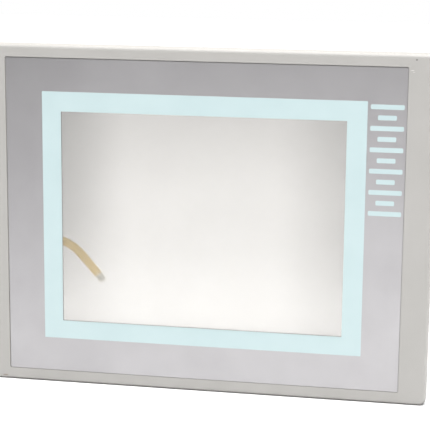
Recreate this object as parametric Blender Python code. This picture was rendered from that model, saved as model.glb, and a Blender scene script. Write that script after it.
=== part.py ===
"""Front unit of a panel-mount touch operator panel.

A moulded front bezel carries a printed front foil and, in a pocket behind it, a resistive touch
sensor (film, spacer, glass). The sensor's flat tail comes out behind the web and hangs free. A
skirt goes through the cabinet's cut-out, a rubber seal lies in the flange, and four screw clamps
hooked into the skirt press the cabinet sheet against the flange.

Frame: metres, +Z up, the front faces -Y, +X to the right of someone who faces the panel. The
origin is the centre of the flange's rear face, which lies on the cabinet sheet.
"""
import math

import bmesh
import bpy
from mathutils import Matrix, Vector

# ---- Driving dimensions (metres) ---------------------------------------------------------------
# Flange
FRONT_W = 0.243
FRONT_H = 0.185
LIP_DEPTH = 0.010            # flange thickness, from the front face to the cabinet sheet
CORNER_R = 0.004
EDGE_R = 0.0018              # rounding of the front edge

# Front foil and the layers under it
SIDE_BORDER = 0.015          # flange left and right of the foil
END_BORDER = 0.0068          # flange above and below the foil
FOIL_T = 0.00025
FOIL_SINK = 0.0003           # foil lies this far below the front face
FOIL_GAP = 0.0003            # around the foil, in its recess
FOIL_SHIFT = 0.00014         # foil is laid towards the recess's lower right corner
FOIL_CORNER_R = 0.0005
ADHESIVE_T = 0.00013
ADHESIVE_INSET = 0.0008      # adhesive stays this far inside the foil's edge
ADHESIVE_REVEAL = 0.003      # and this far outside the window
LAYER_GAP = 0.00005          # between two layers of the laminate

# Window and touch sensor
FIELD_SIDE = 0.0303          # printed field left and right of the window
FIELD_END = 0.02825          # printed field above and below it
WINDOW_MARGIN = 0.0013       # web opening stands back from the printed window
TOUCH_SIDE = 0.0118          # sensor reaches this far past the window, left and right
TOUCH_END = 0.01155          # and above and below
TOUCH_GAP = 0.0003           # around the sensor, in its pocket
FILM_T = 0.00019
SPACER_T = 0.0001
SPACER_RIM = 0.006
GLASS_T = 0.0018
TAPE_T = 0.0005
TAPE_RIM = 0.007
GASKET_T = 0.0015
GASKET_RIM = 0.004
GASKET_REVEAL = 0.001        # gasket stands back from the web opening

# Bezel walls behind the front
WALL_T = 0.0028              # wall round the sensor pocket
WEB_T = 0.0024               # web behind the sensor
WEB_RIM = 0.005              # web reaches this far past the pocket
SKIRT_DEPTH = 0.020
SKIRT_T = 0.0025
SKIRT_INSET = 0.008          # flange overhang past the skirt
SKIRT_CORNER_R = 0.0035
RIB_T = 0.0015
RIB_RISE = 0.0034
SIDE_RIBS = 4
END_RIBS = 6

# Cabinet seal in the flange's rear
SEAL_W = 0.0033
SEAL_DEPTH = 0.0032
SEAL_OFFSET = 0.0018         # groove starts this far outside the skirt
SEAL_GAP = 0.0001
SEAL_PROUD = 0.0006

# Screw bosses and their threaded inserts
INSERT_R = 0.0021
INSERT_BORE_R = 0.00125
INSERT_L = 0.0048
INSERT_GAP = 0.00005
INSERT_SINK = 0.0002
BOSS_R = 0.004
BOSS_BITE = 0.0005           # a boss runs this far into the skirt's wall
COVER_BOSS_DROP = 0.0015     # cover bosses end below the skirt's rim
DISPLAY_BOSS_R = 0.0034
DISPLAY_BOSS_REAR_Y = 0.0005
DISPLAY_BOSS_Z = 0.045

# Clamps
CLAMP_X = 0.065
CLAMP_W = 0.014
CLAMP_Y = 0.0092             # front of the bracket
CLAMP_DEPTH = 0.0098
CLAMP_RISE = 0.0052
CLAMP_SEAT = 0.0003          # bracket's height above the skirt
CLAMP_CORNER_R = 0.0008
HOOK_W = 0.009
HOOK_Y = 0.012
HOOK_T = 0.0034
HOOK_TOE = 0.003
TOE_T = 0.0018
SLOT_GAP = 0.0003
SLOT_FRONT_PLAY = 0.0028     # room in front of the hook, to put it in
PAD_W = 0.009
PAD_T = 0.0022
PAD_DROP = 0.0004            # pad is this much lower than the bracket
PAD_CORNER_R = 0.0007
PAD_GAP = 0.0006             # between pad and bracket when the clamp is open
SCREW_R = 0.0015
SCREW_L = 0.016
SCREW_GAP = 0.00008          # running clearance of the screw in its bracket
TIP_R = 0.0010
TIP_L = 0.0015
TIP_GAP = 0.00015
SOCKET_R = 0.00078
SOCKET_DEPTH = 0.0018

# Sensor tail: a flat strip that starts behind the film's tab. Its centre line is chosen point by
# point, each one measured from the tail's start.
TAIL_W = 0.0046
TAIL_T = 0.0003
TAIL_Z = -0.013
TAIL_SLOT_T = 0.0024
TAIL_SLOT_PLAY = 0.0008
TAIL_TAB = 0.0020            # tab of the film that the tail is bonded to
TAIL_ROUTE = (
    (0.0000, 0.0000, 0.0000),
    (0.0000, 0.0024, 0.0000),
    (0.0000, 0.0049, 0.0000),
    (0.0007, 0.0085, -0.0001),
    (0.0027, 0.0116, -0.0007),
    (0.0057, 0.0138, -0.0019),
    (0.0092, 0.0148, -0.0034),
    (0.0125, 0.0152, -0.0051),
    (0.0157, 0.0156, -0.0073),
    (0.0184, 0.0159, -0.0099),
    (0.0209, 0.0163, -0.0128),
    (0.0238, 0.0167, -0.0163),
    (0.0263, 0.0170, -0.0193),
    (0.0285, 0.0172, -0.0220),
)
CONTACT_L = 0.0044
CONTACT_T = 0.0004
CONTACT_GAP = 0.0002

# ---- Levels worked out from the driving dimensions ----------------------------------------------
FACE_Y = -LIP_DEPTH
FOIL_Y = FACE_Y + FOIL_SINK
ADHESIVE_Y = FOIL_Y + FOIL_T + LAYER_GAP
RECESS_Y = ADHESIVE_Y + ADHESIVE_T + LAYER_GAP
FILM_Y = RECESS_Y
SPACER_Y = FILM_Y + FILM_T + LAYER_GAP
GLASS_Y = SPACER_Y + SPACER_T + LAYER_GAP
TAPE_Y = GLASS_Y + GLASS_T + LAYER_GAP
POCKET_Y = TAPE_Y + TAPE_T + LAYER_GAP
WEB_Y = POCKET_Y + WEB_T
CHANNEL_Y = RECESS_Y + WALL_T

FOIL_W = FRONT_W - 2 * SIDE_BORDER
FOIL_H = FRONT_H - 2 * END_BORDER
WINDOW_W = FOIL_W - 2 * FIELD_SIDE
WINDOW_H = FOIL_H - 2 * FIELD_END
TOUCH_W = WINDOW_W + 2 * TOUCH_SIDE
TOUCH_H = WINDOW_H + 2 * TOUCH_END
POCKET_W = TOUCH_W + 2 * TOUCH_GAP
POCKET_H = TOUCH_H + 2 * TOUCH_GAP
OPENING_W = WINDOW_W + 2 * WINDOW_MARGIN
OPENING_H = WINDOW_H + 2 * WINDOW_MARGIN
SKIRT_W = FRONT_W - 2 * SKIRT_INSET
SKIRT_H = FRONT_H - 2 * SKIRT_INSET
INSIDE_W = SKIRT_W - 2 * SKIRT_T
INSIDE_H = SKIRT_H - 2 * SKIRT_T
WEB_W = POCKET_W + 2 * WEB_RIM
WEB_H = POCKET_H + 2 * WEB_RIM
TAIL_START = Vector((-(POCKET_W / 2 + TAIL_SLOT_T / 2), SPACER_Y + LAYER_GAP, TAIL_Z))
SINK = 0.0008                # joined shapes run this far into each other
OVERCUT = 0.002              # cutters stand this far out of what they cut
ROUND = 24                   # sides of a round piece
BORE_SIDES = 16              # sides of an insert's small bore
HEXAGON = 6
SHARP_ANGLE = math.radians(35)   # edges that bend more than this stay sharp
ALONG_Y = 0.99               # an edge this close to the Y direction counts as running along it


# ---- Helpers -----------------------------------------------------------------------------------
def remove_everything():
    for item in list(bpy.data.objects):
        bpy.data.objects.remove(item, do_unlink=True)
    for mesh in list(bpy.data.meshes):
        bpy.data.meshes.remove(mesh)


def finish(name, colour, roughness, metallic=0.0, alpha=1.0):
    """A Principled material; the colour is linear RGB."""
    made = bpy.data.materials.new(name)
    made.use_nodes = True
    shader = made.node_tree.nodes["Principled BSDF"]
    shader.inputs["Base Color"].default_value = (*colour, 1.0)
    shader.inputs["Roughness"].default_value = roughness
    shader.inputs["Metallic"].default_value = metallic
    shader.inputs["Alpha"].default_value = alpha
    return made


def place(name, bm, material=None, smooth=True):
    """Turn a bmesh into a named object that stands where the bmesh was drawn."""
    bmesh.ops.recalc_face_normals(bm, faces=bm.faces)
    mesh = bpy.data.meshes.new(name)
    bm.to_mesh(mesh)
    bm.free()
    if smooth:
        mesh.shade_smooth()
        mesh.set_sharp_from_angle(angle=SHARP_ANGLE)
    if material:
        mesh.materials.append(material)
    item = bpy.data.objects.new(name, mesh)
    bpy.context.scene.collection.objects.link(item)
    return item


def slab(bm, width, height, front, back, corner=0.0, centre=(0.0, 0.0), segments=5):
    """A plate from y = front to y = back with its four long corners rounded."""
    size = Matrix.Diagonal((width, back - front, height, 1.0))
    move = Matrix.Translation((centre[0], (front + back) / 2, centre[1]))
    made = bmesh.ops.create_cube(bm, size=1.0, matrix=move @ size)["verts"]
    if corner:
        edges = {edge for vert in made for edge in vert.link_edges}
        corners = [e for e in edges if abs((e.verts[0].co - e.verts[1].co).normalized().y) > ALONG_Y]
        bmesh.ops.bevel(bm, geom=corners, offset=corner, offset_type="OFFSET", segments=segments,
                        profile=0.5, affect="EDGES", material=-1, clamp_overlap=True)


def rod(bm, radius, front, back, centre=(0.0, 0.0), sides=ROUND):
    """A round bar along Y from y = front to y = back."""
    turn = Matrix.Rotation(math.radians(-90), 4, "X")
    move = Matrix.Translation((centre[0], (front + back) / 2, centre[1]))
    bmesh.ops.create_cone(bm, cap_ends=True, segments=sides, radius1=radius, radius2=radius,
                          depth=back - front, matrix=move @ turn)


def plate(name, material, width, height, front, back, corner=0.0, centre=(0.0, 0.0)):
    bm = bmesh.new()
    slab(bm, width, height, front, back, corner, centre=centre)
    return place(name, bm, material)


def tool(name, draw):
    """A guide that joins or cuts another piece and isn't a piece itself."""
    bm = bmesh.new()
    draw(bm)
    item = place(name, bm, smooth=False)
    item.hide_render = True
    item.display_type = "WIRE"
    return item


def combine(item, operation, guide):
    step = item.modifiers.new(guide.name, "BOOLEAN")
    step.operation = operation
    step.solver = "EXACT"
    step.object = guide
    return item


def join(item, guide):
    return combine(item, "UNION", guide)


def cut(item, guide):
    return combine(item, "DIFFERENCE", guide)


def ring(name, material, outer, inner, front, back, corner=0.0, inner_corner=0.0):
    """A flat frame; outer and inner are (width, height)."""
    item = plate(name, material, outer[0], outer[1], front, back, corner)
    hole = tool(name + "_hole", lambda bm: slab(bm, inner[0], inner[1], front - OVERCUT,
                                                back + OVERCUT, inner_corner))
    return cut(item, hole)


def settle(item):
    """Keep what the modifiers give as the item's own mesh, so that copies can share it."""
    graph = bpy.context.evaluated_depsgraph_get()
    mesh = bpy.data.meshes.new_from_object(item.evaluated_get(graph))
    guides = [step.object for step in item.modifiers]
    item.modifiers.clear()
    item.data = mesh
    for guide in guides:
        bpy.data.objects.remove(guide, do_unlink=True)
    return item


# ---- Bezel -------------------------------------------------------------------------------------
def cover_bosses():
    """Bosses for the rear cover: four corners and the middles of the long sides."""
    x = INSIDE_W / 2 - BOSS_R + BOSS_BITE
    z = INSIDE_H / 2 - BOSS_R + BOSS_BITE
    return [(sx * x, sz * z) for sz in (1, -1) for sx in (-1, 0, 1)]


def display_bosses():
    """Bosses for the display's brackets, in the channels beside the web."""
    x = (WEB_W / 2 + INSIDE_W / 2) / 2
    return [(sx * x, sz * DISPLAY_BOSS_Z) for sz in (1, -1) for sx in (-1, 1)]


def clamp_places():
    """Name, x and side of each clamp: +1 on top of the skirt, -1 under it."""
    spots = [(sx * CLAMP_X, side) for side in (1, -1) for sx in (-1, 1)]
    return [(f"clamp_{number}", x, side) for number, (x, side) in enumerate(spots, start=1)]


def draw_lip(bm):
    slab(bm, FRONT_W, FRONT_H, FACE_Y, 0.0, CORNER_R)
    front = [e for e in bm.edges if all(abs(v.co.y - FACE_Y) < 1e-6 for v in e.verts)]
    bmesh.ops.bevel(bm, geom=front, offset=EDGE_R, offset_type="OFFSET", segments=4,
                    profile=0.5, affect="EDGES", material=-1, clamp_overlap=True)


def spread(count, span):
    """Evenly spaced places, symmetric about zero, that leave half a step at each end."""
    step = span / count
    return [(index + 0.5) * step - span / 2 for index in range(count)]


def draw_ribs(bm):
    """Ribs that tie the web to the skirt across the channels."""
    front = CHANNEL_Y - SINK
    back = CHANNEL_Y + RIB_RISE
    side = (INSIDE_W - WEB_W) / 2
    end = (INSIDE_H - WEB_H) / 2
    for sign in (-1, 1):
        for z in spread(SIDE_RIBS, WEB_H):
            x = sign * (WEB_W / 2 + side / 2)
            slab(bm, side + 2 * SINK, RIB_T, front, back, centre=(x, z))
        for x in spread(END_RIBS, WEB_W):
            z = sign * (WEB_H / 2 + end / 2)
            slab(bm, RIB_T, end + 2 * SINK, front, back, centre=(x, z))


def draw_cover_bosses(bm):
    for spot in cover_bosses():
        rod(bm, BOSS_R, CHANNEL_Y - SINK, SKIRT_DEPTH - COVER_BOSS_DROP, spot)


def draw_display_bosses(bm):
    for spot in display_bosses():
        rod(bm, DISPLAY_BOSS_R, CHANNEL_Y - SINK, DISPLAY_BOSS_REAR_Y, spot)


def draw_insert_holes(bm):
    depth = INSERT_L + INSERT_SINK + INSERT_GAP
    for spots, rear in ((cover_bosses(), SKIRT_DEPTH - COVER_BOSS_DROP),
                        (display_bosses(), DISPLAY_BOSS_REAR_Y)):
        for spot in spots:
            rod(bm, INSERT_R + INSERT_GAP, rear - depth, rear + OVERCUT, spot)


def draw_clamp_slots(bm):
    wide = HOOK_W + 2 * SLOT_GAP
    front = HOOK_Y - SLOT_FRONT_PLAY
    back = HOOK_Y + HOOK_T + SLOT_GAP
    for _, x, side in clamp_places():
        z = side * (SKIRT_H / 2 - SKIRT_T / 2)
        slab(bm, wide, SKIRT_T + 2 * OVERCUT, front, back, centre=(x, z))


def draw_tail_slot(bm):
    inner = POCKET_W / 2 - SINK
    outer = POCKET_W / 2 + TAIL_SLOT_T
    slab(bm, outer - inner, TAIL_W + 2 * TAIL_SLOT_PLAY, RECESS_Y - OVERCUT, WEB_Y + OVERCUT,
         centre=(-(inner + outer) / 2, TAIL_Z))


def seal_size(offset):
    return SKIRT_W + 2 * offset, SKIRT_H + 2 * offset


def build_bezel(material):
    bm = bmesh.new()
    draw_lip(bm)
    bezel = place("front_bezel", bm, material)
    join(bezel, tool("skirt_block", lambda bm: slab(
        bm, SKIRT_W, SKIRT_H, CHANNEL_Y - SINK, SKIRT_DEPTH, SKIRT_CORNER_R)))
    cut(bezel, tool("inside", lambda bm: slab(
        bm, INSIDE_W, INSIDE_H, CHANNEL_Y, SKIRT_DEPTH + OVERCUT, SKIRT_CORNER_R - SKIRT_T / 2)))
    join(bezel, tool("web", lambda bm: slab(bm, WEB_W, WEB_H, CHANNEL_Y - SINK, WEB_Y, CORNER_R)))
    join(bezel, tool("ribs", draw_ribs))
    join(bezel, tool("cover_posts", draw_cover_bosses))
    join(bezel, tool("display_posts", draw_display_bosses))
    cut(bezel, tool("foil_recess", lambda bm: slab(
        bm, FOIL_W + 2 * FOIL_GAP, FOIL_H + 2 * FOIL_GAP, FACE_Y - OVERCUT, RECESS_Y,
        FOIL_CORNER_R + FOIL_GAP)))
    cut(bezel, tool("sensor_pocket", lambda bm: slab(
        bm, POCKET_W, POCKET_H, RECESS_Y - OVERCUT, POCKET_Y)))
    cut(bezel, tool("window_opening", lambda bm: slab(
        bm, OPENING_W, OPENING_H, POCKET_Y - OVERCUT, WEB_Y + OVERCUT)))
    cut(bezel, tool("tail_slot", draw_tail_slot))
    cut(bezel, tool("insert_holes", draw_insert_holes))
    cut(bezel, tool("clamp_slots", draw_clamp_slots))
    groove = ring("seal_groove", None, seal_size(SEAL_OFFSET + SEAL_W), seal_size(SEAL_OFFSET),
                  -SEAL_DEPTH, OVERCUT, SKIRT_CORNER_R + SEAL_OFFSET, SKIRT_CORNER_R)
    settle(groove)
    groove.hide_render = True
    groove.display_type = "WIRE"
    cut(bezel, groove)
    return bezel


# ---- Foil and sensor ---------------------------------------------------------------------------
def build_foil(material):
    plate("front_foil", material, FOIL_W, FOIL_H, FOIL_Y, FOIL_Y + FOIL_T, FOIL_CORNER_R,
          centre=(FOIL_SHIFT, -FOIL_SHIFT))


def build_adhesive(material):
    ring("foil_adhesive", material,
         (FOIL_W - 2 * ADHESIVE_INSET, FOIL_H - 2 * ADHESIVE_INSET),
         (WINDOW_W + 2 * ADHESIVE_REVEAL, WINDOW_H + 2 * ADHESIVE_REVEAL),
         ADHESIVE_Y, ADHESIVE_Y + ADHESIVE_T)


def build_film(material):
    """The sensor's film, with the tab at its left edge that carries the tail."""
    film = plate("touch_film", material, TOUCH_W, TOUCH_H, FILM_Y, FILM_Y + FILM_T)
    tab = tool("film_tab", lambda bm: slab(
        bm, TAIL_TAB + SINK, TAIL_W, FILM_Y, FILM_Y + FILM_T,
        centre=(-(TOUCH_W / 2 + (TAIL_TAB - SINK) / 2), TAIL_Z)))
    join(film, tab)


def build_spacer(material):
    ring("touch_spacer", material, (TOUCH_W, TOUCH_H),
         (TOUCH_W - 2 * SPACER_RIM, TOUCH_H - 2 * SPACER_RIM), SPACER_Y, SPACER_Y + SPACER_T)


def build_glass(material):
    plate("touch_glass", material, TOUCH_W, TOUCH_H, GLASS_Y, GLASS_Y + GLASS_T)


def build_tape(material):
    ring("glass_tape", material, (TOUCH_W, TOUCH_H),
         (TOUCH_W - 2 * TAPE_RIM, TOUCH_H - 2 * TAPE_RIM), TAPE_Y, TAPE_Y + TAPE_T)


def build_gasket(material):
    inner = (OPENING_W + 2 * GASKET_REVEAL, OPENING_H + 2 * GASKET_REVEAL)
    outer = (inner[0] + 2 * GASKET_RIM, inner[1] + 2 * GASKET_RIM)
    front = WEB_Y + LAYER_GAP
    ring("display_gasket", material, outer, inner, front, front + GASKET_T)


def build_seal(material):
    inner = seal_size(SEAL_OFFSET + SEAL_GAP)
    outer = seal_size(SEAL_OFFSET + SEAL_W - SEAL_GAP)
    ring("mounting_seal", material, outer, inner, -SEAL_DEPTH + LAYER_GAP, SEAL_PROUD,
         SKIRT_CORNER_R + SEAL_OFFSET - SEAL_GAP, SKIRT_CORNER_R + SEAL_GAP)


# ---- Sensor tail -------------------------------------------------------------------------------
def smooth_route(points, steps=3):
    """Points on a Catmull-Rom curve through the given ones."""
    points = [Vector(point) for point in points]
    ends = [2 * points[0] - points[1], *points, 2 * points[-1] - points[-2]]
    route = []
    for a, b, c, d in zip(ends, ends[1:], ends[2:], ends[3:]):
        for step in range(steps):
            t = step / steps
            route.append(0.5 * (2 * b + (c - a) * t + (2 * a - 5 * b + 4 * c - d) * t ** 2
                                + (3 * b - a - 3 * c + d) * t ** 3))
    route.append(points[-1])
    return route


def strip(bm, route, width, thickness):
    """Sweep a flat strip along the route; its width stays as upright as the route allows."""
    rings = []
    for index, point in enumerate(route):
        ahead = route[min(index + 1, len(route) - 1)] - route[max(index - 1, 0)]
        ahead.normalize()
        across = Vector((0, 0, 1))
        across = (across - across.dot(ahead) * ahead).normalized()
        normal = ahead.cross(across)
        corners = ((-1, -1), (1, -1), (1, 1), (-1, 1))
        rings.append([bm.verts.new(point + across * sx * width / 2 + normal * sy * thickness / 2)
                      for sx, sy in corners])
    bm.faces.new(rings[0])
    bm.faces.new(reversed(rings[-1]))
    for here, there in zip(rings, rings[1:]):
        for side in range(4):
            after = (side + 1) % 4
            bm.faces.new((here[side], here[after], there[after], there[side]))


def build_tail(strip_finish, contact_finish):
    route = smooth_route([TAIL_START + Vector(step) for step in TAIL_ROUTE])
    bm = bmesh.new()
    strip(bm, route, TAIL_W, TAIL_T)
    place("touch_tail", bm, strip_finish)

    ahead = (route[-1] - route[-2]).normalized()
    first = route[-1] + ahead * CONTACT_GAP
    bm = bmesh.new()
    strip(bm, [first, first + ahead * CONTACT_L], TAIL_W, CONTACT_T)
    place("tail_contacts", bm, contact_finish)


# ---- Inserts -----------------------------------------------------------------------------------
def build_inserts(material):
    """One threaded insert in each boss, all with the same mesh, each with its origin in its axis."""
    bm = bmesh.new()
    rod(bm, INSERT_R, -INSERT_L, 0.0)
    first = place("insert_1", bm, material)
    cut(first, tool("insert_bore", lambda bm: rod(
        bm, INSERT_BORE_R, -INSERT_L - OVERCUT, OVERCUT, sides=BORE_SIDES)))
    settle(first)
    spots = [(x, SKIRT_DEPTH - COVER_BOSS_DROP, z) for x, z in cover_bosses()]
    spots += [(x, DISPLAY_BOSS_REAR_Y, z) for x, z in display_bosses()]
    for number, (x, rear, z) in enumerate(spots, start=1):
        insert = first
        if number > 1:
            insert = bpy.data.objects.new(f"insert_{number}", first.data)
            bpy.context.scene.collection.objects.link(insert)
        insert.location = (x, rear - INSERT_SINK, z)


# ---- Clamps ------------------------------------------------------------------------------------
# A clamp is drawn on top of the skirt: local z = 0 is the skirt's outer face, y is the panel's y.
SCREW_Z = CLAMP_SEAT + CLAMP_RISE / 2
PAD_BACK_Y = CLAMP_Y - PAD_GAP
PAD_FRONT_Y = PAD_BACK_Y - PAD_T
TIP_Y = PAD_BACK_Y - TIP_L


def bracket_mesh(material):
    """Block with the threaded hole, and a hook that goes through the skirt's slot."""
    middle = CLAMP_SEAT + CLAMP_RISE / 2
    bm = bmesh.new()
    slab(bm, CLAMP_W, CLAMP_RISE, CLAMP_Y, CLAMP_Y + CLAMP_DEPTH, centre=(0, middle))
    upright = [e for e in bm.edges if abs((e.verts[0].co - e.verts[1].co).normalized().y) > ALONG_Y
               and all(v.co.z > middle for v in e.verts)]
    bmesh.ops.bevel(bm, geom=upright, offset=CLAMP_CORNER_R, offset_type="OFFSET", segments=3,
                    profile=0.5, affect="EDGES", material=-1)
    bracket = place("bracket_pattern", bm, material)

    toe_top = -SKIRT_T - SLOT_GAP
    neck_top = CLAMP_SEAT + SINK
    join(bracket, tool("neck", lambda bm: slab(
        bm, HOOK_W, neck_top - toe_top + TOE_T, HOOK_Y, HOOK_Y + HOOK_T,
        centre=(0, (neck_top + toe_top - TOE_T) / 2))))
    join(bracket, tool("toe", lambda bm: slab(
        bm, HOOK_W, TOE_T, HOOK_Y + HOOK_T - SINK, HOOK_Y + HOOK_T + HOOK_TOE,
        centre=(0, toe_top - TOE_T / 2))))
    cut(bracket, tool("thread", lambda bm: rod(
        bm, SCREW_R + SCREW_GAP, CLAMP_Y - OVERCUT, CLAMP_Y + CLAMP_DEPTH + OVERCUT,
        centre=(0, SCREW_Z))))
    return settle(bracket)


def pad_mesh(material):
    """Flat shoe that bears on the cabinet sheet; the screw's tip turns in its back.

    Drawn about the screw's axis, with y = 0 at the pad's back.
    """
    bm = bmesh.new()
    slab(bm, PAD_W, CLAMP_RISE - PAD_DROP, -PAD_T, 0.0, PAD_CORNER_R, segments=3)
    pad = place("pad_pattern", bm, material)
    cut(pad, tool("tip_seat", lambda bm: rod(
        bm, TIP_R + TIP_GAP, -TIP_L - TIP_GAP, OVERCUT)))
    return settle(pad)


def screw_mesh(material):
    """Set screw along Y, drawn with y = 0 at the end of its turned tip."""
    bm = bmesh.new()
    rod(bm, SCREW_R, TIP_L, SCREW_L)
    screw = place("screw_pattern", bm, material)
    join(screw, tool("tip", lambda bm: rod(bm, TIP_R, 0.0, TIP_L + SINK)))
    cut(screw, tool("socket", lambda bm: rod(
        bm, SOCKET_R, SCREW_L - SOCKET_DEPTH, SCREW_L + OVERCUT, sides=HEXAGON)))
    return settle(screw)


def build_clamps(bracket_finish, screw_finish, pad_finish):
    patterns = {
        "bracket": (bracket_mesh(bracket_finish), (0, 0, 0)),
        "pad": (pad_mesh(pad_finish), (0, PAD_BACK_Y, SCREW_Z)),
        "screw": (screw_mesh(screw_finish), (0, TIP_Y, SCREW_Z)),
    }
    for name, x, side in clamp_places():
        seat = bpy.data.objects.new(name, None)
        seat.location = (x, 0, side * SKIRT_H / 2)
        seat.rotation_euler = (0, 0 if side > 0 else math.pi, 0)
        bpy.context.scene.collection.objects.link(seat)
        for kind, (pattern, spot) in patterns.items():
            piece = bpy.data.objects.new(f"{name}_{kind}", pattern.data)
            piece.parent = seat
            piece.location = spot
            bpy.context.scene.collection.objects.link(piece)
    for pattern, _ in patterns.values():
        bpy.data.objects.remove(pattern, do_unlink=True)


# ---- The whole unit ----------------------------------------------------------------------------
def build():
    remove_everything()
    build_bezel(finish("warm_grey_plastic", (0.55, 0.53, 0.50), 0.45))
    build_foil(finish("silver_foil", (0.50, 0.49, 0.50), 0.35, metallic=0.4))
    build_adhesive(finish("foil_adhesive", (0.75, 0.74, 0.70), 0.6))
    build_film(finish("sensor_film", (0.85, 0.87, 0.86), 0.15, alpha=0.5))
    build_spacer(finish("spacer_tape", (0.70, 0.69, 0.62), 0.6))
    build_glass(finish("sensor_glass", (0.80, 0.86, 0.84), 0.05, alpha=0.4))
    build_tape(finish("foam_tape", (0.12, 0.12, 0.12), 0.9))
    build_gasket(finish("gasket_foam", (0.06, 0.06, 0.06), 0.95))
    build_seal(finish("seal_rubber", (0.03, 0.03, 0.03), 0.7))
    build_tail(finish("tail_polyester", (0.56, 0.41, 0.20), 0.35),
               finish("contact_end", (0.60, 0.58, 0.47), 0.4))
    build_inserts(finish("brass", (0.72, 0.53, 0.24), 0.3, metallic=1.0))
    build_clamps(finish("zinc", (0.52, 0.53, 0.54), 0.4, metallic=1.0),
                 finish("bright_steel", (0.60, 0.60, 0.60), 0.3, metallic=1.0),
                 finish("pad_nylon", (0.05, 0.05, 0.05), 0.6))


build()
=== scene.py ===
# %% [markdown]
# # Front unit of a touch operator panel
#
# The panel stands on its lower edge on a pale table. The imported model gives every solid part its
# place and its motion. The cells below add what the eye judges: finishes, printed layers, the
# flat tail behind the window and the small hardware at the rear.

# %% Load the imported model
import math

import bmesh
import bpy
from mathutils import Matrix, Vector


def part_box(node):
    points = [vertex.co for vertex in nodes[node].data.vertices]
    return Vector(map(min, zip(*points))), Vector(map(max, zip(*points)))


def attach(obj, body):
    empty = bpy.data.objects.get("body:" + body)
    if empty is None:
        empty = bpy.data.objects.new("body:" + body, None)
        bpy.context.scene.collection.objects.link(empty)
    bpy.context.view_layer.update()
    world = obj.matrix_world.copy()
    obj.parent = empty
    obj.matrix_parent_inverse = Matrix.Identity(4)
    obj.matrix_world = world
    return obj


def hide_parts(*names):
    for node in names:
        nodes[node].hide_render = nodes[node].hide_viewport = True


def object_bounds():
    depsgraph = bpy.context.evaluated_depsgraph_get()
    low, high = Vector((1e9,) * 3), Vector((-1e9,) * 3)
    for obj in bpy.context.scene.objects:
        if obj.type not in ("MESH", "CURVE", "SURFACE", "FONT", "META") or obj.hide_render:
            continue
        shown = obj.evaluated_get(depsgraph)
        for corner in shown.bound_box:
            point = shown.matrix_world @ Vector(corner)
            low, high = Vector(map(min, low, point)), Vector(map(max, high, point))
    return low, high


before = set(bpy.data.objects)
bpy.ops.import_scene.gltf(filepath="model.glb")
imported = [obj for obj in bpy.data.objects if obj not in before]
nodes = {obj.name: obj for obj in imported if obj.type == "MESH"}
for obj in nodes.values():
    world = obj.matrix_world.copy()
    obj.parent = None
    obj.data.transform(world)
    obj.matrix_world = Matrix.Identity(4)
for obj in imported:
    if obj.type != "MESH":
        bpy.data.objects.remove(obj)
cad_low, cad_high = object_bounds()
print(len(nodes), "parts,", [round(1000 * size, 1) for size in cad_high - cad_low], "mm")

# %% [markdown]
# ## Camera
# A long lens a good step away keeps the panel's sides nearly parallel. The camera stands a little
# to the right and above, and it is turned by half a degree, as a hand-levelled tripod often is.

# %% Camera
LOOK_AT = Vector((0.00773, -0.010, 0.00521))
CAMERA_DISTANCE = 0.7763
CAMERA_AZIMUTH = math.radians(10.56)
CAMERA_ELEVATION = math.radians(11.31)
CAMERA_ROLL = math.radians(0.53)
LENS = 123.07                # millimetres, on a sensor 36 mm wide
NEAREST, FARTHEST = 0.01, 50.0       # what the camera sees lies between these


def toward(azimuth, elevation):
    """Unit vector from the panel to a place; azimuth 0 is straight in front, 90 to the right."""
    return Vector((math.sin(azimuth) * math.cos(elevation),
                   -math.cos(azimuth) * math.cos(elevation),
                   math.sin(elevation)))


back = toward(CAMERA_AZIMUTH, CAMERA_ELEVATION)
turned = back.to_track_quat("Z", "Y").to_matrix().to_4x4() @ Matrix.Rotation(CAMERA_ROLL, 4, "Z")
lens = bpy.data.cameras.new("camera")
lens.lens = LENS
lens.clip_start = NEAREST
lens.clip_end = FARTHEST
camera = bpy.data.objects.new("camera", lens)
camera.matrix_world = Matrix.Translation(LOOK_AT + back * CAMERA_DISTANCE) @ turned
bpy.context.scene.collection.objects.link(camera)
bpy.context.scene.camera = camera
bpy.context.scene.view_settings.view_transform = "Standard"
print("camera at", [round(value, 3) for value in camera.matrix_world.translation])

# %% [markdown]
# ## Finishes: the small kit
# Each finish starts from one Principled shader, whose even values are set on its own sockets.
# Patterns hang on the piece's Object coordinates, which are metres here, so a grain's size can be
# said in millimetres. These helpers only save repeating the same few nodes.

# %% Finish helpers
MM = 0.001
PATCH = (0.35, 0.65)         # a noise between these is spread from one colour to the other
MOST = (0.3, 0.7)            # nearly all of a noise lies between these
WHITE = (1.0, 1.0, 1.0)
BLACK = (0.0, 0.0, 0.0)


def start_finish(name, colour, roughness, metallic=0.0):
    """A material, its node tree, its shader and the coordinates that patterns hang on."""
    made = bpy.data.materials.new(name)
    made.use_nodes = True
    tree = made.node_tree
    shader = tree.nodes["Principled BSDF"]
    shader.inputs["Base Color"].default_value = (*colour, 1.0)
    shader.inputs["Roughness"].default_value = roughness
    shader.inputs["Metallic"].default_value = metallic
    where = tree.nodes.new("ShaderNodeTexCoord").outputs["Object"]
    return made, tree, shader, where


def start_sheet(name):
    """A material without a shader yet, its node tree and the coordinates."""
    made, tree, shader, where = start_finish(name, WHITE, 0.0)
    tree.nodes.remove(shader)
    return made, tree, where


def feed(tree, socket, side):
    """Link a socket to another one, or set it to a number or a colour."""
    if isinstance(side, bpy.types.NodeSocket):
        tree.links.new(side, socket)
    else:
        socket.default_value = (*side, 1.0) if isinstance(side, tuple) else side


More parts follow.
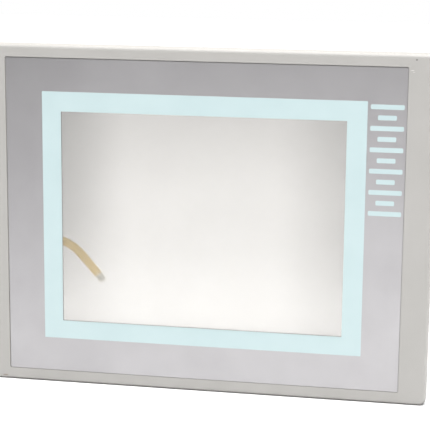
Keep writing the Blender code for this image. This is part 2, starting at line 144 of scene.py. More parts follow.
def clouds(tree, where, size, detail=3.0):
    """Soft irregular spots about size metres across."""
    node = tree.nodes.new("ShaderNodeTexNoise")
    node.inputs["Scale"].default_value = 1.0 / size
    node.inputs["Detail"].default_value = detail
    tree.links.new(where, node.inputs["Vector"])
    return node.outputs["Fac"]


def cells(tree, where, size):
    """Round pits or pebbles about size metres apart."""
    node = tree.nodes.new("ShaderNodeTexVoronoi")
    node.inputs["Scale"].default_value = 1.0 / size
    tree.links.new(where, node.inputs["Vector"])
    return node.outputs["Distance"]


def remap(tree, value, low, high, to_low=0.0, to_high=1.0):
    """Stretch a value's range, and hold it there."""
    node = tree.nodes.new("ShaderNodeMapRange")
    for socket, number in (("From Min", low), ("From Max", high), ("To Min", to_low),
                           ("To Max", to_high)):
        node.inputs[socket].default_value = number
    tree.links.new(value, node.inputs["Value"])
    return node.outputs["Result"]


def soft_remap(tree, value, low, high, to_low, to_high):
    """A remap that starts and ends gently."""
    result = remap(tree, value, low, high, to_low, to_high)
    result.node.interpolation_type = "SMOOTHSTEP"
    return result


def calc(tree, operation, first, second=0.0):
    """One Math node; each side is a socket or a number."""
    node = tree.nodes.new("ShaderNodeMath")
    node.operation = operation
    for socket, side in zip(node.inputs, (first, second)):
        feed(tree, socket, side)
    return node.outputs["Value"]


def blend_colours(tree, factor, first, second):
    """A colour between two; each is a socket or linear RGB."""
    node = tree.nodes.new("ShaderNodeMix")
    node.data_type = "RGBA"
    tree.links.new(factor, node.inputs["Factor"])
    feed(tree, node.inputs["A"], first)
    feed(tree, node.inputs["B"], second)
    return node.outputs["Result"]


def mix_shaders(tree, share, first, second):
    """A node that mixes two shader nodes; share says how much of the second."""
    node = tree.nodes.new("ShaderNodeMixShader")
    feed(tree, node.inputs["Fac"], share)
    tree.links.new(first.outputs[0], node.inputs[1])
    tree.links.new(second.outputs[0], node.inputs[2])
    return node


def show(tree, shader):
    """Make a shader node the material's surface."""
    tree.links.new(shader.outputs[0], tree.nodes["Material Output"].inputs["Surface"])


def relief(tree, shader, height, depth):
    """Raise and sink the surface by height times depth."""
    node = tree.nodes.new("ShaderNodeBump")
    node.inputs["Distance"].default_value = depth
    tree.links.new(height, node.inputs["Height"])
    tree.links.new(node.outputs["Normal"], shader.inputs["Normal"])


def split_axes(tree, vector):
    """The X, Y and Z of a vector, as three sockets."""
    node = tree.nodes.new("ShaderNodeSeparateXYZ")
    tree.links.new(vector, node.inputs["Vector"])
    return node.outputs["X"], node.outputs["Y"], node.outputs["Z"]


def scale_by(tree, *values):
    """Several values multiplied together."""
    result = values[0]
    for value in values[1:]:
        result = calc(tree, "MULTIPLY", result, value)
    return result


print("finish helpers ready")

# %% [markdown]
# ## Shapes: the small kit
# Nearly every flat piece here is a rounded rectangle with some thickness, parallel to the panel's
# front. One grid square, stretched and with its corners rounded, gives the outline. Two outlines
# bridged together give a frame. An extrusion gives the thickness.

# %% Shape helpers
FACING_FRONT = Matrix.Rotation(math.radians(90), 4, "X")
FLAT = 0.99999               # faces this square to an axis are shaded flat
LEVEL = 1e-6                 # points this near to a plane lie in it


def at_depth(y, x=0.0, z=0.0):
    """Where a shape drawn flat is to stand, facing the panel's front."""
    return Matrix.Translation((x, y, z)) @ FACING_FRONT


def rounded_face(bm, width, height, corner, where, segments=6):
    """One flat face with round corners; where places it."""
    made = bmesh.ops.create_grid(bm, x_segments=1, y_segments=1, size=0.5,
                                 matrix=where @ Matrix.Diagonal((width, height, 1.0, 1.0)))
    bmesh.ops.bevel(bm, geom=made["verts"], offset=corner, offset_type="OFFSET",
                    affect="VERTICES", segments=segments, profile=0.5, material=-1,
                    clamp_overlap=True)


def rounded_loop(bm, width, height, corner, where, segments=6):
    """The closed outline alone, without its face."""
    known = set(bm.edges)
    known_faces = set(bm.faces)
    rounded_face(bm, width, height, corner, where, segments)
    bmesh.ops.delete(bm, geom=[f for f in bm.faces if f not in known_faces], context="FACES_ONLY")
    return [edge for edge in bm.edges if edge not in known]


def bridge_rings(bm, rings, closed=False):
    """Skin a row of outlines, each to the next; a closed row goes back to its first."""
    following = [*rings[1:], rings[0]] if closed else rings[1:]
    for first, second in zip(rings, following):
        bmesh.ops.bridge_loops(bm, edges=first + second)


def add_block(bm, place, size):
    """A block of some size; place is the matrix that stands it."""
    bmesh.ops.create_cube(bm, size=1.0, matrix=place @ Matrix.Diagonal((*size, 1.0)))


def cut_plane(bm, place, normal, clear=False):
    """Cut everything by a plane; clear drops what lies in front of it."""
    bmesh.ops.bisect_plane(bm, geom=[*bm.verts, *bm.edges, *bm.faces], dist=LEVEL / 10,
                           plane_co=place, plane_no=normal, clear_outer=clear)


def new_verts(grown):
    """The points that an extrusion made."""
    return [item for item in grown if isinstance(item, bmesh.types.BMVert)]


def thicken(bm, faces, depth):
    """Extrude flat faces backwards into the panel by depth."""
    grown = bmesh.ops.extrude_face_region(bm, geom=faces)["geom"]
    bmesh.ops.translate(bm, vec=(0.0, depth, 0.0), verts=new_verts(grown))


def soften(bm, edges, width, segments=2):
    """Round some edges over."""
    bmesh.ops.bevel(bm, geom=edges, offset=width, offset_type="OFFSET", affect="EDGES",
                    segments=segments, profile=0.5, material=-1, clamp_overlap=True)


def make_piece(name, bm, finish, body="front_unit", replaces=(), smooth=35.0):
    """Close the bmesh into a named object that rides on a body and has its finish."""
    bmesh.ops.recalc_face_normals(bm, faces=bm.faces)
    mesh = bpy.data.meshes.new(name)
    bm.to_mesh(mesh)
    bm.free()
    mesh.shade_smooth()
    mesh.set_sharp_from_angle(angle=math.radians(smooth))
    for polygon in mesh.polygons:
        if max(abs(part) for part in polygon.normal) > FLAT:
            polygon.use_smooth = False
    mesh.materials.append(finish)
    item = bpy.data.objects.new(name, mesh)
    bpy.context.scene.collection.objects.link(item)
    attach(item, body)
    if replaces:
        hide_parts(*replaces)
    print(name, len(mesh.polygons), "faces")
    return item


print("shape helpers ready")

# %% [markdown]
# ## The sensor's flat tail
# A resistive touch sensor is read through a short flat tail: clear polyester with printed silver
# tracks and an amber cover, stiffened at its bare end. With no board behind, it hangs loose in
# view behind the window. It is a ribbon: small rounded outlines, one at each point of its route,
# are bridged into a skin. Each point carries how far across the ribbon it lies, so that the
# tracks follow every bend.

# %% Tail route
TAIL_START = Vector((-0.0895, -0.00893, -0.0130))
TAIL_STEPS = (               # metres, each measured from the tail's start
    (0.0000, 0.0000, 0.0000),
    (0.0000, 0.0024, 0.0000),
    (0.0000, 0.0049, 0.0000),
    (0.0007, 0.0085, -0.0001),
    (0.0027, 0.0116, -0.0007),
    (0.0057, 0.0138, -0.0019),
    (0.0092, 0.0148, -0.0034),
    (0.0125, 0.0152, -0.0051),
    (0.0157, 0.0156, -0.0073),
    (0.0184, 0.0159, -0.0099),
    (0.0209, 0.0163, -0.0128),
    (0.0238, 0.0167, -0.0163),
    (0.0263, 0.0170, -0.0193),
    (0.0285, 0.0172, -0.0220),
)
TAIL_WIDTH = 0.0046
TAIL_THICKNESS = 0.0003
END_GAP = 0.0002
END_LENGTH = 0.0044
END_THICKNESS = 0.0004


def smooth_route(points, steps=3):
    """Catmull-Rom points through the given ones."""
    points = [Vector(p) for p in points]
    padded = [2 * points[0] - points[1], *points, 2 * points[-1] - points[-2]]
    route = []
    for a, b, c, d in zip(padded, padded[1:], padded[2:], padded[3:]):
        for step in range(steps):
            t = step / steps
            route.append(0.5 * (2 * b + (c - a) * t + (2 * a - 5 * b + 4 * c - d) * t ** 2
                                + (3 * b - a - 3 * c + d) * t ** 3))
    return [*route, points[-1]]


tail_route = [TAIL_START + step for step in smooth_route(TAIL_STEPS)]
tail_run = (tail_route[-1] - tail_route[-2]).normalized()

# %% Tail ribbon
UP = Vector((0.0, 0.0, 1.0))
RIBBON_EDGE = 0.3            # rounding of the ribbon's edges, as a share of its thickness


def ribbon_place(centre, run):
    """Matrix with X across the ribbon, Y through its thickness and Z along its run."""
    across = (UP - run * UP.dot(run)).normalized()
    through = run.cross(across)
    return Matrix.Translation(centre) @ Matrix((across, through, run)).transposed().to_4x4()


def route_runs(route):
    """The ribbon's direction at each point of its route."""
    ends = zip([route[0], *route[:-1]], [*route[1:], route[-1]])
    return [(after - before).normalized() for before, after in ends]


def ribbon(bm, route, runs, width, thickness):
    """A closed ribbon along a route, with how far across it each point lies."""
    across_layer = bm.verts.layers.float.new("across")
    rings = []
    for centre, run in zip(route, runs):
        where = ribbon_place(centre, run)
        ring = rounded_loop(bm, width, thickness, thickness * RIBBON_EDGE, where, segments=2)
        for vert in {vert for edge in ring for vert in edge.verts}:
            vert[across_layer] = (where.inverted() @ vert.co).x
        rings.append(ring)
    bridge_rings(bm, rings)
    bmesh.ops.holes_fill(bm, edges=rings[0] + rings[-1], sides=0)


def let_through(tree, solid, tint, share):
    """Let a share of the light straight through, tinted, as a thin film does."""
    clear = tree.nodes.new("ShaderNodeBsdfTransparent")
    feed(tree, clear.inputs["Color"], tint)
    show(tree, mix_shaders(tree, share, solid, clear))


print("ribbon helpers ready")

# %% [markdown]
# Most of the light goes straight through the tail, so it looks pale amber. The tracks repeat
# across its width, once a pitch, and stop short of its edges.

# %% Tail's finish
TRACK_PITCH = 1.0 * MM
TRACK_HALF = 0.24            # half of a track, as a share of the pitch
TRACK_LIMIT = 1.95 * MM      # the outermost track ends this far from the middle
TRACK_SHARE = 0.55
TRACK_RISE = 0.03 * MM
TRACK_COLOUR = (0.62, 0.50, 0.30)
AMBER_DARK = (0.60, 0.37, 0.11)
AMBER_LIGHT = (0.68, 0.47, 0.18)
AMBER_ROUGH = (0.26, 0.4)
TAIL_TINT = (0.98, 0.84, 0.50)
TAIL_CLEAR = 0.86


def tail_finish():
    """Amber polyester with four silver tracks."""
    made, tree, shader, where = start_finish("amber_polyester", (0.62, 0.40, 0.13), 0.32)
    across = tree.nodes.new("ShaderNodeAttribute")
    across.attribute_name = "across"
    wave = calc(tree, "FRACT", calc(tree, "DIVIDE", across.outputs["Fac"], TRACK_PITCH))
    off_track = calc(tree, "ABSOLUTE", calc(tree, "SUBTRACT", wave, 0.5))
    inside = calc(tree, "LESS_THAN", calc(tree, "ABSOLUTE", across.outputs["Fac"]), TRACK_LIMIT)
    track = scale_by(tree, calc(tree, "LESS_THAN", off_track, TRACK_HALF), inside)
    patches = clouds(tree, where, 2.5 * MM)
    film = blend_colours(tree, patches, AMBER_DARK, AMBER_LIGHT)
    colour = blend_colours(tree, scale_by(tree, track, TRACK_SHARE), film, TRACK_COLOUR)
    tree.links.new(colour, shader.inputs["Base Color"])
    tree.links.new(remap(tree, patches, *MOST, *AMBER_ROUGH), shader.inputs["Roughness"])
    relief(tree, shader, track, TRACK_RISE)
    let_through(tree, shader, TAIL_TINT, TAIL_CLEAR)
    return made


AMBER = tail_finish()
bm = bmesh.new()
ribbon(bm, tail_route, route_runs(tail_route), TAIL_WIDTH, TAIL_THICKNESS)
tail = make_piece("tail_ribbon", bm, AMBER, replaces=["touch_tail"])

# %% [markdown]
# The contact end is a thicker, nearly clear stiffener with four bare fingers printed on its face.

# %% Tail's contact end
FINGER_WIDTH = 0.0004
FINGER_PITCH = 0.0010
FINGER_LENGTH = 0.0038
FINGER_RISE = 0.00003
FINGER_ROUND = 0.00001
FINGER_COUNT = 4
STIFFENER = ((0.50, 0.50, 0.41), (0.60, 0.60, 0.51))     # its darker and lighter colour
STIFFENER_TINT = (0.99, 0.985, 0.93)
STIFFENER_CLEAR = 0.96
CARBON = ((0.52, 0.52, 0.48), (0.68, 0.68, 0.63))
FINE_RELIEF = 0.01 * MM


def stiffener_finish():
    made, tree, shader, where = start_finish("stiffener_polyester", (0.55, 0.55, 0.46), 0.45)
    colour = blend_colours(tree, clouds(tree, where, 1.2 * MM), *STIFFENER)
    tree.links.new(colour, shader.inputs["Base Color"])
    relief(tree, shader, clouds(tree, where, 0.15 * MM), FINE_RELIEF)
    let_through(tree, shader, STIFFENER_TINT, STIFFENER_CLEAR)
    return made


def finger_finish():
    made, tree, shader, where = start_finish("carbon_contacts", (0.60, 0.60, 0.55), 0.4)
    streaks = clouds(tree, where, 0.3 * MM, detail=5.0)
    tree.links.new(blend_colours(tree, streaks, *CARBON), shader.inputs["Base Color"])
    relief(tree, shader, streaks, FINE_RELIEF)
    return made


end_from = tail_route[-1] + tail_run * END_GAP
end_to = end_from + tail_run * END_LENGTH
bm = bmesh.new()
ribbon(bm, [end_from, end_to], [tail_run, tail_run], TAIL_WIDTH, END_THICKNESS)
stiffener = make_piece("tail_stiffener", bm, stiffener_finish(), replaces=["tail_contacts"])
bm = bmesh.new()
for number in range(FINGER_COUNT):
    aside = (number - (FINGER_COUNT - 1) / 2) * FINGER_PITCH
    place = ribbon_place((end_from + end_to) / 2, tail_run)
    place = place @ Matrix.Translation((aside, -END_THICKNESS / 2, 0.0))
    add_block(bm, place, (FINGER_WIDTH, 2 * FINGER_RISE, FINGER_LENGTH))
soften(bm, list(bm.edges), FINGER_ROUND, 1)
fingers = make_piece("tail_fingers", bm, finger_finish())

# %% [markdown]
# ### About the tail
# The tail is a free flat cord, about five centimetres long, that ends in its contact piece. It is
# stiff for its size and springs away from the window rather than hanging straight down.

print("tail's path has", len(tail_route), "points")

# %% [markdown]
# ## Table and light
# A white table and a white surround, with one high soft light in front and a wide soft box high
# behind, which lights the window's film from its back. The surround is dimmer towards the
# horizon, so that the silver print has something darker to mirror.

# %% Table
TABLE_SIZE = 6.0
TABLE_Z = cad_low.z
TABLE_COLOURS = ((0.89, 0.89, 0.89), (0.91, 0.91, 0.91))
TABLE_SHEEN = 0.1
bm = bmesh.new()
bmesh.ops.create_grid(bm, x_segments=1, y_segments=1, size=TABLE_SIZE / 2,
                      matrix=Matrix.Translation((0.0, 0.0, TABLE_Z)))
table_mesh = bpy.data.meshes.new("table")
bm.to_mesh(table_mesh)
bm.free()
table_finish, tree, shader, where = start_finish("table_board", (0.9, 0.9, 0.9), 0.8)
board = blend_colours(tree, clouds(tree, where, 60 * MM), *TABLE_COLOURS)
tree.links.new(board, shader.inputs["Base Color"])
shader.inputs["Specular IOR Level"].default_value = TABLE_SHEEN
table_mesh.materials.append(table_finish)
table = bpy.data.objects.new("table", table_mesh)
bpy.context.scene.collection.objects.link(table)
print("table at", round(1000 * TABLE_Z, 1), "mm")

# %% Surround
SKY_HORIZON = 0.12
SKY_ZENITH = 0.75
SKY_RIGHT = 0.25
SKY_TOP = 0.9                # from this height up the sky is even


def studio_surround():
    """White where it is seen, a soft vertical gradient where it lights things."""
    world = bpy.data.worlds.new("studio")
    world.use_nodes = True
    tree = world.node_tree
    tree.nodes.clear()
    direction = tree.nodes.new("ShaderNodeTexCoord").outputs["Generated"]
    right, _, up = split_axes(tree, direction)
    rise = remap(tree, up, 0.0, SKY_TOP, SKY_HORIZON, SKY_ZENITH)
    aside = remap(tree, right, 0.0, 1.0, 0.0, SKY_RIGHT)
    lit = tree.nodes.new("ShaderNodeBackground")
    tree.links.new(calc(tree, "ADD", rise, aside), lit.inputs["Strength"])
    seen = tree.nodes.new("ShaderNodeBackground")
    for background in (lit, seen):
        feed(tree, background.inputs["Color"], WHITE)
    looked_at = tree.nodes.new("ShaderNodeLightPath").outputs["Is Camera Ray"]
    mixed = mix_shaders(tree, looked_at, lit, seen)
    output = tree.nodes.new("ShaderNodeOutputWorld")
    tree.links.new(mixed.outputs["Shader"], output.inputs["Surface"])
    return world


bpy.context.scene.world = studio_surround()
print("surround from", SKY_HORIZON, "to", SKY_ZENITH)

# %% Lights
MIDDLE = Vector((0.0, 0.0, 0.0))
FLOOR_FRONT = Vector((0.05, -0.16, TABLE_Z))
SUN_POWER = 2.2
SUN_SPREAD = math.radians(35)
SUN_PLACE = (35, 72, 2.0)            # azimuth, elevation in degrees, distance in metres
OVERHEAD_PLACE = (90, 85, 0.80)
OVERHEAD_SIZE, OVERHEAD_POWER = 0.50, 5.2
REAR_PLACE = (200, 62, 0.6)
REAR_SIZE, REAR_POWER = 0.4, 2.0


def soft_box(name, place, size, power, centre=MIDDLE):
    """A square soft box, which looks at a point from its place."""
    light = bpy.data.lights.new(name, "AREA")
    light.shape = "SQUARE"
    light.size = size
    light.energy = power
    aim(bpy.data.objects.new(name, light), place, centre)


def aim(item, place, centre=MIDDLE):
    """Stand a light off a point, looking at it."""
    azimuth, elevation, distance = place
    back = toward(math.radians(azimuth), math.radians(elevation))
    turn = back.to_track_quat("Z", "Y").to_matrix().to_4x4()
    item.matrix_world = Matrix.Translation(centre + back * distance) @ turn
    item.visible_camera = False
    bpy.context.scene.collection.objects.link(item)
    print(item.name, [round(value, 2) for value in item.matrix_world.translation])


daylight = bpy.data.lights.new("high_light", "SUN")
daylight.energy = SUN_POWER
daylight.angle = SUN_SPREAD
aim(bpy.data.objects.new("high_light", daylight), SUN_PLACE)
soft_box("overhead_box", OVERHEAD_PLACE, OVERHEAD_SIZE, OVERHEAD_POWER, FLOOR_FRONT)
soft_box("rear_box", REAR_PLACE, REAR_SIZE, REAR_POWER)

# %% [markdown]
# ## Moulded bezel
# The flange, its skirt and the web are one injection moulding in a warm light grey. A fine
# spark-eroded grain takes the shine off, wide faint patches break the colour up, and the outer
# edges are a touch paler where hands and cartons rub them.

# %% Bezel colours
PLASTIC = (0.400, 0.389, 0.373)
PLASTIC_DARK = (0.379, 0.369, 0.352)
PLASTIC_WORN = (0.515, 0.505, 0.485)
PLASTIC_DUST = (0.325, 0.312, 0.290)
# painted shade: rim faces that look down are darkened towards this colour
PLASTIC_PAINTED_SHADE = (0.150, 0.142, 0.136)
PLASTIC_ROUGH = (0.50, 0.60)
PLASTIC_SHEEN = 0.35
WORN_RIM = 1.6 * MM
WEAR_SHARE = 0.25
WEAR_PATCH = (0.45, 0.62)
DUST_SHARE = (0.70, 0.90)
DUST_LOOKS = (0.6, 0.95)     # how far a face looks up where dust starts, and where it is full
# painted shade: how far a face looks down where the darkening starts, and where it is full
PAINTED_SHADE_LOOKS = (-0.15, -0.7)
PAINTED_SHADE_SHARE = 0.8
RIM_DEPTH = -4 * MM          # wear and painted shade sit on the rim in front of this
BEZEL_GRAIN = 0.45 * MM
BEZEL_GRAIN_DEPTH = 0.018 * MM
print("bezel colours", PLASTIC, "to", PLASTIC_DARK)

# %% [markdown]
# Years in a cabinet door leave a few marks on the flange: a nick, two bright scratches and a scuff
# at the foot. Each is a small spot in the colour, a distance from one point, made ragged by a
# noise, so it costs no geometry.

# %% Marks on the flange
MARKS = (                    # place, reach across and up, colour
    ((0.1106, 0.0897), (0.00055, 0.00045), (0.10, 0.095, 0.09)),
    ((0.1086, 0.0843), (0.00110, 0.00022), (0.62, 0.61, 0.59)),
    ((0.1094, 0.0834), (0.00070, 0.00018), (0.58, 0.57, 0.55)),
    ((-0.1096, -0.0905), (0.00190, 0.00055), (0.27, 0.24, 0.21)),
)
MARK_GRAIN = 0.4 * MM
MARK_INSIDE, MARK_OUTSIDE = 1.0, 1.5


def mark(tree, where, place, reach):
    """1 inside a small ragged spot on the flange's face, 0 outside it."""
    away = tree.nodes.new("ShaderNodeVectorMath")
    away.operation = "SUBTRACT"
    tree.links.new(where, away.inputs[0])
    away.inputs[1].default_value = (place[0], cad_low.y, place[1])
    scaled = tree.nodes.new("ShaderNodeVectorMath")
    scaled.operation = "DIVIDE"
    tree.links.new(away.outputs["Vector"], scaled.inputs[0])
    scaled.inputs[1].default_value = (reach[0], MM, reach[1])
    length = tree.nodes.new("ShaderNodeVectorMath")
    length.operation = "LENGTH"
    tree.links.new(scaled.outputs["Vector"], length.inputs[0])
    ragged = calc(tree, "ADD", length.outputs["Value"], clouds(tree, where, MARK_GRAIN))
    return remap(tree, ragged, MARK_INSIDE, MARK_OUTSIDE, 1.0, 0.0)


print(len(MARKS), "marks")

# %% [markdown]
# The finish stacks these on the plastic: pale wear on the rim, dust where a face looks up, painted
# shade where the rim looks down, and then the marks.

# %% Bezel finish
def bezel_finish():
    made, tree, shader, where = start_finish("moulded_grey_plastic", PLASTIC, 0.55)
    across, depth, height = split_axes(tree, where)
    normal = tree.nodes.new("ShaderNodeNewGeometry").outputs["Normal"]
    looks_up = split_axes(tree, normal)[2]
    patches = clouds(tree, where, 35 * MM)
    plain = blend_colours(tree, remap(tree, patches, *PATCH), PLASTIC_DARK, PLASTIC)
    sides = calc(tree, "SUBTRACT", calc(tree, "ABSOLUTE", across), cad_high.x - WORN_RIM)
    ends = calc(tree, "SUBTRACT", calc(tree, "ABSOLUTE", height), cad_high.z - WORN_RIM)
    rim = remap(tree, calc(tree, "MAXIMUM", sides, ends), 0.0, WORN_RIM)
    rubbed = remap(tree, clouds(tree, where, 5 * MM, detail=6.0), *WEAR_PATCH)
    in_front = calc(tree, "LESS_THAN", depth, RIM_DEPTH)
    wear = scale_by(tree, rim, rubbed, in_front, WEAR_SHARE)
    colour = blend_colours(tree, wear, plain, PLASTIC_WORN)
    settled = remap(tree, clouds(tree, where, 9 * MM), *MOST, *DUST_SHARE)
    dust = scale_by(tree, remap(tree, looks_up, *DUST_LOOKS), settled)
    colour = blend_colours(tree, dust, colour, PLASTIC_DUST)
    # painted shade: faces of the front rim that look down are darkened, as under the flange's
    # lower edge
    painted_shade = scale_by(tree, remap(tree, looks_up, *PAINTED_SHADE_LOOKS, 0.0, PAINTED_SHADE_SHARE), in_front)
    colour = blend_colours(tree, painted_shade, colour, PLASTIC_PAINTED_SHADE)
    for place, reach, tone in MARKS:
        colour = blend_colours(tree, mark(tree, where, place, reach), colour, tone)
    tree.links.new(colour, shader.inputs["Base Color"])
    tree.links.new(remap(tree, patches, *MOST, *PLASTIC_ROUGH), shader.inputs["Roughness"])
    grain = calc(tree, "ADD", cells(tree, where, BEZEL_GRAIN), clouds(tree, where, 0.25 * MM))
    relief(tree, shader, grain, BEZEL_GRAIN_DEPTH)
    shader.inputs["Specular IOR Level"].default_value = PLASTIC_SHEEN
    return made


def dress(names, finish):
    """Give CAD parts their finish."""
    for name in names:
        slots = nodes[name].data.materials
        for index in range(len(slots)):
            slots[index] = finish
    print(finish.name, "on", len(names), "parts")


dress(["front_bezel"], bezel_finish())

# %% [markdown]
# ## Printed front foil
# The foil is polyester, printed from behind: a silver-grey field with fine metallic pigment, a
# pale cyan frame round the window and a vertical mark of plain bars at the right. Only the window
# is left clear, with an anti-glare hard coat on its face. The field is a frame of its own, with a
# rolled die-cut edge, and the cyan areas lie on it a few hundredths of a millimetre proud, as
# thick screen ink does.

# %% Foil sizes
foil_low, foil_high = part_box("front_foil")
FOIL_CORNER = 0.0005
WINDOW_WIDTH = 0.1524
WINDOW_HEIGHT = 0.1149
WINDOW_CORNER = 0.0003
FOIL_EDGE_ROLL = 0.00005
RIM_ANGLE = 1.0              # radians; sharper edges than this are a rim
foil_width = foil_high.x - foil_low.x
foil_height = foil_high.z - foil_low.z
foil_thickness = foil_high.y - foil_low.y
foil_middle = (foil_low + foil_high) / 2
print("foil", round(1000 * foil_width, 1), "by", round(1000 * foil_height, 1), "mm")

# %% Silver print
SILVER = (0.391, 0.379, 0.386)
SILVER_DARK = (0.361, 0.349, 0.356)
# painted shade: the colour that the silver is darkened towards at its upper left
SILVER_SHADE = (0.06, 0.058, 0.06)
FOIL_SHADE_LEFT = 0.22            # painted shade: the field is darkened towards the upper left
FOIL_SHADE_REACH = 30 * MM
FOIL_SHADE_FOOT = 0.35
SILVER_FLAKE = (0.47, 0.466, 0.48)
FLAKE_SHARE = 0.25
SILVER_METAL = 0.88
SILVER_ROUGH = (0.31, 0.37)
PRINT_RELIEF = 0.006 * MM


def silver_finish():
    made, tree, shader, where = start_finish("silver_print", SILVER, 0.34, SILVER_METAL)
    patches = clouds(tree, where, 28 * MM)
    flakes = cells(tree, where, 0.12 * MM)
    plain = blend_colours(tree, remap(tree, patches, *PATCH), SILVER_DARK, SILVER)
    across, _, height = split_axes(tree, where)
    # painted shade: darker towards the left edge, most at the upper part
    left = soft_remap(tree, across, foil_low.x, -FOIL_SHADE_REACH, FOIL_SHADE_LEFT, 0.0)
    upper = remap(tree, height, foil_low.z, 0.0, FOIL_SHADE_FOOT, 1.0)
    plain = blend_colours(tree, scale_by(tree, left, upper), plain, SILVER_SHADE)
    sparkle = remap(tree, flakes, 0.0, 0.5, 0.0, FLAKE_SHARE)
    tree.links.new(blend_colours(tree, sparkle, plain, SILVER_FLAKE), shader.inputs["Base Color"])
    tree.links.new(remap(tree, clouds(tree, where, 9 * MM), *MOST, *SILVER_ROUGH),
                   shader.inputs["Roughness"])
    relief(tree, shader, clouds(tree, where, 0.2 * MM), PRINT_RELIEF)
    return made


def frame_faces(bm, outer, inner, where_outer, where_inner):
    """Flat frame between two outlines; each is (width, height, corner)."""
    edges = rounded_loop(bm, *outer, where_outer) + rounded_loop(bm, *inner, where_inner)
    return bmesh.ops.bridge_loops(bm, edges=edges)["faces"]


bm = bmesh.new()
face = frame_faces(bm, (foil_width, foil_height, FOIL_CORNER),
                   (WINDOW_WIDTH, WINDOW_HEIGHT, WINDOW_CORNER),
                   at_depth(foil_low.y, foil_middle.x, foil_middle.z), at_depth(foil_low.y))
thicken(bm, face, foil_thickness)
rim = [e for e in bm.edges if not e.is_boundary and e.calc_face_angle(0.0) > RIM_ANGLE
       and all(abs(v.co.y - foil_low.y) < LEVEL for v in e.verts)
       and max(abs(e.verts[0].co.x), abs(e.verts[0].co.z)) > WINDOW_WIDTH / 2 + MM]
soften(bm, rim, FOIL_EDGE_ROLL)
make_piece("foil_field", bm, silver_finish(), replaces=["front_foil"])

# %% Cyan frame
CYAN = (0.474, 0.586, 0.597)
CYAN_DARK = (0.455, 0.568, 0.580)
CYAN_ROUGH = (0.40, 0.50)
CYAN_WIDTH = 0.1731
CYAN_HEIGHT = 0.1354
CYAN_RAISE = 0.00028         # the printed frame sits this far above the window's middle
INK_RISE = 0.00003
INK_ROOT = 0.00002


def cyan_finish():
    made, tree, shader, where = start_finish("cyan_print", CYAN, 0.45)
    patches = clouds(tree, where, 22 * MM)
    tree.links.new(blend_colours(tree, remap(tree, patches, *PATCH), CYAN_DARK, CYAN),
                   shader.inputs["Base Color"])
    tree.links.new(remap(tree, patches, *MOST, *CYAN_ROUGH), shader.inputs["Roughness"])
    relief(tree, shader, clouds(tree, where, 0.3 * MM), PRINT_RELIEF)
    return made


cyan = cyan_finish()
ink_y = foil_low.y - INK_RISE
bm = bmesh.new()
face = frame_faces(bm, (CYAN_WIDTH, CYAN_HEIGHT, WINDOW_CORNER),
                   (WINDOW_WIDTH, WINDOW_HEIGHT, WINDOW_CORNER),
                   at_depth(ink_y, z=CYAN_RAISE), at_depth(ink_y))
thicken(bm, face, INK_RISE + INK_ROOT)
make_piece("foil_cyan_frame", bm, cyan)

# %% Vertical mark
MARK_X = 0.0967
MARK_TOP = 0.0665
MARK_WIDE = 0.0172
MARK_NARROW = 0.0096
BAR_HEIGHT = 0.0025
BAR_PITCH = 0.00555
BAR_COUNT = 11
BAR_CORNER = 0.0006

bm = bmesh.new()
for number in range(BAR_COUNT):
    wide = MARK_WIDE if number % 2 == 0 else MARK_NARROW
    middle = MARK_TOP - BAR_HEIGHT / 2 - number * BAR_PITCH
    rounded_face(bm, wide, BAR_HEIGHT, BAR_CORNER, at_depth(ink_y, MARK_X, middle), 4)
thicken(bm, list(bm.faces), INK_RISE + INK_ROOT)
make_piece("foil_mark", bm, cyan)

# %% [markdown]
# ## Clear window
# The window's hard coat scatters a share of the light: what lies close behind it shows, what
# lies further off goes milky. Part of the shader lets light straight through, part of it glows
# with the light that falls on its back, and a little answers the light in front. Painted shade
# darkens the film towards its sides, most at their upper part, and in a faint band below the
# middle. It is one sheet without thickness, the only piece here that is, because a second
# surface would dim everything behind it twice.

# %% Window finish
WINDOW_CLEAR = (0.46, 0.44)
WINDOW_TINT = (0.978, 0.951, 0.970)
WINDOW_GLOW = (0.380, 0.364, 0.366)
WINDOW_FRONT = (0.80, 0.79, 0.77)
WINDOW_FRONT_SHARE = 0.12
WINDOW_ROUGHNESS = 0.35
FILM_IOR = 1.45
WINDOW_GAP = 0.00001
WINDOW_SINK = 0.00002
WINDOW_SHADE_LEFT = 0.66            # painted shade: share that gets through at the left edge, and at the right
WINDOW_SHADE_RIGHT = 0.76
WINDOW_SHADE_FOOT = 0.85            # and at the foot of both
WINDOW_SHADE_FADE = 40 * MM
WINDOW_SHADE_BAND = 0.92             # painted shade: a wide, faint darker band below the middle
WINDOW_BAND_HEIGHT = -13 * MM
WINDOW_BAND_REACH = 42 * MM


def painted_window_shade(tree, where):
    """Painted shade: how much the film lets through, less towards its sides, least at their upper
    part, and a little less in a wide band below the middle.
    """
    across, _, height = split_axes(tree, where)
    shade = soft_remap(tree, calc(tree, "ABSOLUTE", calc(tree, "SUBTRACT", height, WINDOW_BAND_HEIGHT)),
                       0.0, WINDOW_BAND_REACH, WINDOW_SHADE_BAND, 1.0)
    for side, darkest in ((-1.0, WINDOW_SHADE_LEFT), (1.0, WINDOW_SHADE_RIGHT)):
        inwards = calc(tree, "SUBTRACT", WINDOW_WIDTH / 2, scale_by(tree, across, side))
        rise = soft_remap(tree, inwards, 0.0, WINDOW_SHADE_FADE, 0.0, 1.0)
        edge = remap(tree, height, -WINDOW_HEIGHT / 2, 0.0, WINDOW_SHADE_FOOT, darkest)
        clearing = scale_by(tree, rise, calc(tree, "SUBTRACT", 1.0, edge))
        shade = scale_by(tree, shade, calc(tree, "ADD", edge, clearing))
    return shade


